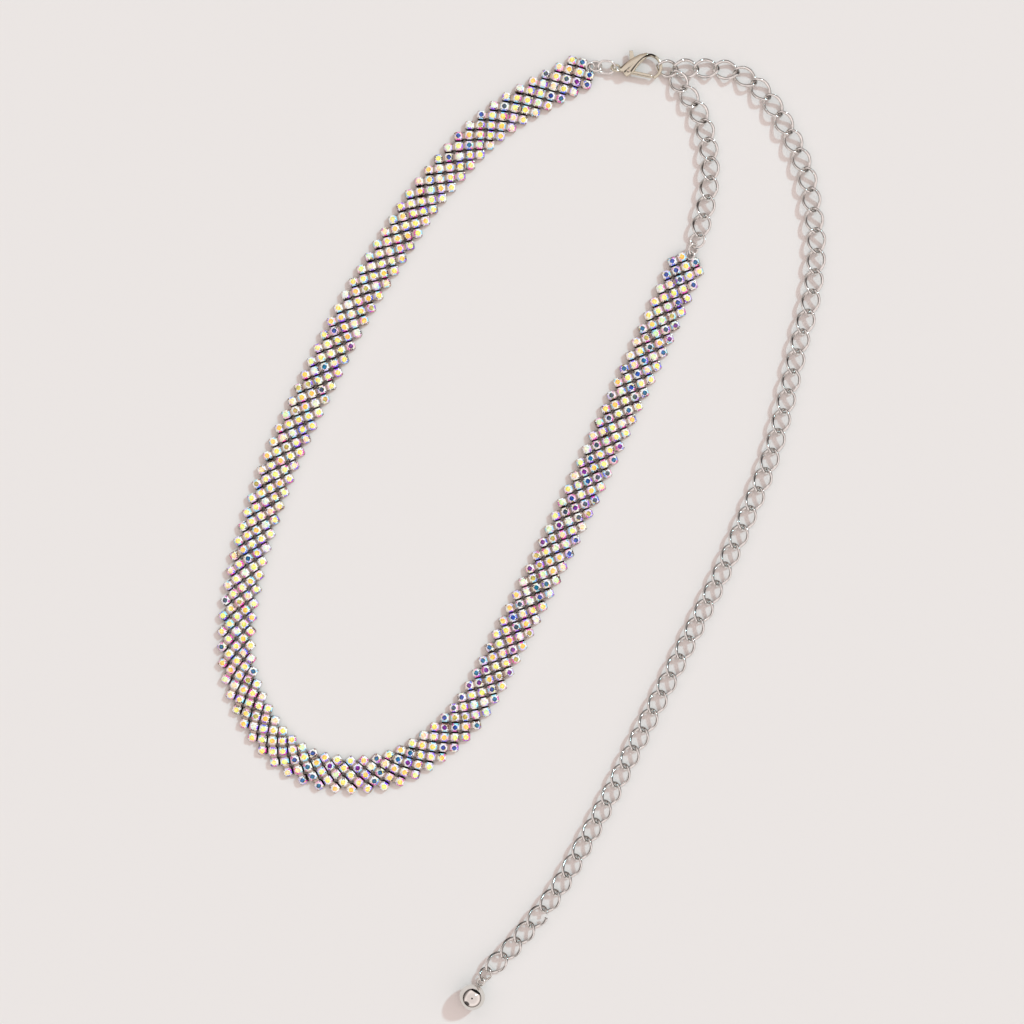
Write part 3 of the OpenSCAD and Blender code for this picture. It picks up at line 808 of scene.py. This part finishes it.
def ribBar(flip):
    path = [Vector((x, y, z * flip)) * mm for x, y, z in ribSizes["path"]]
    pickNothing()
    bpy.ops.mesh.primitive_cylinder_add(vertices=16, radius=ribSizes["wire"], depth=ribSizes["short"],
                                        location=(0, 0, 0))
    rib = bpy.context.object
    along = (path[-1] - path[0]).xy.normalized()
    start = Vector((*claspRoute["rivet"], claspSizes["middle"])) + path[0]
    rib.matrix_world = (Matrix.Translation(start) @ Matrix.Rotation(turnOf(along), 4, "Z")
                        @ Matrix.Rotation(math.pi / 2, 4, "Y"))
    settlePlace(rib)
    for a, b in zip(path, path[1:]):
        farthest = max(face.center.xy.dot(along) for face in rib.data.polygons)
        pickFaces(rib, lambda face: face.center.xy.dot(along) > farthest - 0.01 * mm)
        bpy.ops.mesh.extrude_region_move(TRANSFORM_OT_translate={"value": b - a})
        leaveEdit()
    return rib


def roomBlock(name):
    low, high = ([v * mm for v in corner] for corner in claspRooms[name])
    block = addBox(name + "Room", [b - a for a, b in zip(low, high)],
                   [(a + b) / 2 for a, b in zip(low, high)])
    block.matrix_world = Matrix.Translation((*claspRoute["rivet"], claspSizes["middle"]))
    settlePlace(block)
    return block


def domeTool():  # the cheeks' outline as one block, rounded all over
    size, rivet = claspSizes, Vector(claspRoute["rivet"])
    dome = nodeCopy("clasp_body", "claspDome")
    pickFaces(dome, lambda face: face.normal.z < 0.99 or face.center.z < size["middle"] + size["flatTop"])
    bpy.ops.mesh.delete(type="FACE")
    pickFaces(dome, lambda face: True)
    bpy.ops.mesh.extrude_region_move(TRANSFORM_OT_translate={"value": (0, 0, -size["deep"])})
    pickFaces(dome, lambda face: True)
    bpy.ops.mesh.normals_make_consistent(inside=False)
    leaveEdit()
    dome = joinAs("claspDome", [dome, roomBlock("rivet")])
    applyModifier(dome, "REMESH", mode="VOXEL", voxel_size=size["domeVoxel"])
    applyModifier(dome, "SMOOTH", factor=size["rounding"], iterations=size["domeRounds"])
    pickFaces(dome, lambda face: True)
    centre = (*(rivet + Vector(size["growFrom"])), size["middle"])
    bpy.ops.transform.resize(value=size["grow"], center_override=centre)
    pickNothing()
    bpy.ops.mesh.primitive_uv_sphere_add(segments=64, ring_count=40, radius=1, location=(0, 0, 0))
    crown = bpy.context.object
    pickFaces(crown, lambda face: True)
    bpy.ops.transform.resize(value=size["domeHalf"])
    leaveEdit()
    crown.matrix_world = seat(rivet + Vector(size["domeAt"]), size["middle"], size["domeTurn"])
    settlePlace(crown)
    applyModifier(dome, "BOOLEAN", operation="INTERSECT", solver="EXACT", object=crown)
    dropModel(crown)
    return joinAs("claspDome", [dome, roomBlock("bow"), roomBlock("loop")])


def buildClasp():
    body, dome = nodeCopy("clasp_body", "claspCasting"), domeTool()
    applyModifier(body, "BOOLEAN", operation="INTERSECT", solver="EXACT", use_self=True, object=dome)
    dropModel(dome)
    body = joinAs("claspCasting", [body, ribBar(1), ribBar(-1)])
    softCasting(body, isLever=False)
    pinTo(body, "chain", "clasp_silver", "clasp_body")
    lever = nodeCopy("clasp_lever", "claspGate")
    softCasting(lever, isLever=True)
    pinTo(lever, "lever", "clasp_silver", "clasp_lever")
    rivet = nodeCopy("clasp_pin", "claspRivet")
    applyModifier(rivet, "BEVEL", width=claspSizes["rivetRound"], segments=4, limit_method="ANGLE",
                  angle_limit=math.radians(50))
    bpy.ops.object.shade_smooth_by_angle(angle=math.radians(40))
    dress(rivet, "rivetSilver")
    pinTo(rivet, "chain", "clasp_silver", "clasp_pin")
    print("clasp made", len(body.data.polygons), len(lever.data.polygons))


buildClasp()


# the ball with its neck and eye

ballSizes = {"diameter": 9 * mm, "neck": 1.5 * mm, "neckRound": 0.3 * mm, "eyeOut": 5.7 * mm,
             "eye": 3.6 * mm, "wire": 0.85 * mm, "roll": -40}


def buildBall():
    size = ballSizes
    radius = size["diameter"] / 2
    turn = turnOf(Vector(ballRoute["link"]) - Vector(ballRoute["ball"]))
    pickNothing()
    bpy.ops.mesh.primitive_uv_sphere_add(segments=64, ring_count=40, radius=radius, location=(0, 0, 0))
    ball = bpy.context.object
    ball.matrix_world = Matrix.Translation((*ballRoute["ball"], radius))
    settlePlace(ball)
    pickNothing()
    neckEnd = size["eyeOut"] - size["eye"] / 2 + size["wire"] / 2
    bpy.ops.mesh.primitive_cylinder_add(vertices=24, radius=size["neck"] / 2, depth=neckEnd,
                                        location=(0, 0, 0))
    neck = bpy.context.object
    pickFaces(neck, lambda face: face.normal.z > 0.9)
    bpy.ops.mesh.bevel(offset=size["neckRound"], segments=3)
    leaveEdit()
    neck.matrix_world = (seat(ballRoute["ball"], runHeight, turn, (math.pi / 2, "Y"))
                         @ Matrix.Translation((0, 0, neckEnd / 2)))
    settlePlace(neck)
    eye = addRing("ballEye", size["eye"], size["wire"])
    eye.matrix_world = (seat(ballRoute["ball"], runHeight, turn)
                        @ Matrix.Translation((size["eyeOut"], 0, 0))
                        @ Matrix.Rotation(math.radians(size["roll"]), 4, "X"))
    settlePlace(eye)
    ball = joinAs("ballPendant", [ball, neck, eye])
    bpy.ops.object.shade_smooth_by_angle(angle=math.radians(40))
    dress(ball, "ballSilver")
    pinTo(ball, "chain", "ball_silver", "end_ball")


buildBall()

# the plain rings keep their exact solids
for nodeName in ("band_ring", "clasp_link", "chain_ring_large", "chain_ring_small"):
    dress(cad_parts[nodeName], "chainSilver")
print("ball and rings made")


# end loops of the band

endSizes = {"outer": 3.6 * mm, "wire": 0.75 * mm, "out": 1.6 * mm, "roll": 28}


def buildEndLoops():
    size = endSizes
    for name, run, sign, node in (("endLoopLeft", 0, -1, "stone_band_left"),
                                  ("endLoopRight", band["length"], 1, "stone_band_right")):
        ahead = headingAt(band, run) * sign
        point = placeAt(band, run) + ahead * size["out"]
        loop = addRing(name, size["outer"], size["wire"])
        loop.matrix_world = seat(point, runHeight, turnOf(ahead), (math.radians(-sign * size["roll"]), "X"))
        settlePlace(loop)
        bpy.ops.object.shade_smooth()
        dress(loop, "chainSilver")
        pinTo(loop, "chain", "chain_silver", node)


buildEndLoops()
print("end loops made")


# floor, light and camera

stageLook = {"floorSize": 14, "floor": (236, 229, 225), "floorRough": 0.9, "floorShine": 0.1,
             "sunTurn": math.radians(40), "sunRise": math.radians(38), "sunPower": 1.5,
             "sunTint": (0.56, 0.885, 0.99), "sunSoft": math.radians(4), "fill": 1.155,
             "fillTint": (1.0, 0.905, 0.887)}
# the room from the floor upwards: how high, as a sine, and how bright there
skyStops = [(0.0, (0.06, 0.05, 0.04)), (0.17, (0.34, 0.29, 0.27)), (0.38, stageLook["fillTint"])]
# dark parts of the room: the way to their middle, how far they reach, as a cosine, and how dark
skyDarks = [((-0.72, 0.38, -0.58), 0.25, 0.56, 0.3), ((0.5, 0.8, -0.33), 0.6, 0.7, 0.02),
            ((-0.62, -0.68, 0.36), 0.9, 0.96, 0.1), ((0, 0, 1), 0.989, 0.9925, 0.03),
            ((0, 0, 1), 0.4, 0.85, 0.78)]
cameraLook = {"centre": (-0.0037, 0.0061), "lens": 75, "sensor": 36, "across": 0.3584, "plane": 0.0015}


def buildStage():
    look = stageLook
    pickNothing()
    bpy.ops.mesh.primitive_plane_add(size=look["floorSize"], location=(0, 0, 0))
    floor = bpy.context.object
    floor.name = "paleFloor"
    material, shader = newMaterial("palePaper")
    shader.inputs["Base Color"].default_value = (*linear(*look["floor"]), 1)
    shader.inputs["Roughness"].default_value = look["floorRough"]
    shader.inputs["Specular IOR Level"].default_value = look["floorShine"]
    floor.data.materials.append(material)
    bpy.ops.object.light_add(type="SUN", location=(0.5, 0.5, 0.6))
    sun = bpy.context.object
    level = math.cos(look["sunRise"])
    toward = Vector((math.cos(look["sunTurn"]) * level, math.sin(look["sunTurn"]) * level,
                     math.sin(look["sunRise"])))
    sun.rotation_euler = toward.to_track_quat("Z", "Y").to_euler()
    sun.data.energy = look["sunPower"]
    sun.data.angle = look["sunSoft"]
    sun.data.color = look["sunTint"]


def buildSky():  # soft bright room, darker towards the horizon and in a few parts
    world = bpy.data.worlds.new("softRoom")
    bpy.context.scene.world = world
    world.use_nodes = True
    nodes, links = world.node_tree.nodes, world.node_tree.links
    backdrop = nodes["Background"]
    backdrop.inputs["Strength"].default_value = stageLook["fill"]
    place, parts = nodes.new("ShaderNodeTexCoord"), nodes.new("ShaderNodeSeparateXYZ")
    ramp = nodes.new("ShaderNodeValToRGB")
    stops = ramp.color_ramp.elements
    stops[1].position = skyStops[-1][0]
    stops.new(skyStops[1][0])
    for stop, (height, tint) in zip(stops, skyStops):
        stop.position, stop.color = height, (*tint, 1)
    links.new(place.outputs["Generated"], parts.inputs["Vector"])
    links.new(parts.outputs["Z"], ramp.inputs["Fac"])
    color = ramp.outputs["Color"]
    for toward, outer, full, level in skyDarks:
        near, shade = nodes.new("ShaderNodeVectorMath"), nodes.new("ShaderNodeMapRange")
        near.operation = "DOT_PRODUCT"
        near.inputs[1].default_value = toward
        shade.interpolation_type = "SMOOTHSTEP"
        for name, value in (("From Min", outer), ("From Max", full), ("To Min", 1), ("To Max", level)):
            shade.inputs[name].default_value = value
        links.new(place.outputs["Generated"], near.inputs[0])
        links.new(near.outputs["Value"], shade.inputs["Value"])
        color = mixTimes(nodes, links, color, shade.outputs["Result"])
    links.new(color, backdrop.inputs["Color"])


def buildCamera():
    look = cameraLook
    height = look["plane"] + look["across"] * look["lens"] / look["sensor"]
    leaveEdit()
    bpy.ops.object.camera_add(location=(*look["centre"], height), rotation=(0, 0, 0))
    camera = bpy.context.object
    camera.data.lens = look["lens"]
    camera.data.sensor_width = look["sensor"]
    bpy.context.scene.camera = camera
    bpy.context.scene.view_settings.view_transform = "Standard"


buildStage()
buildSky()
buildCamera()
print("stage set")
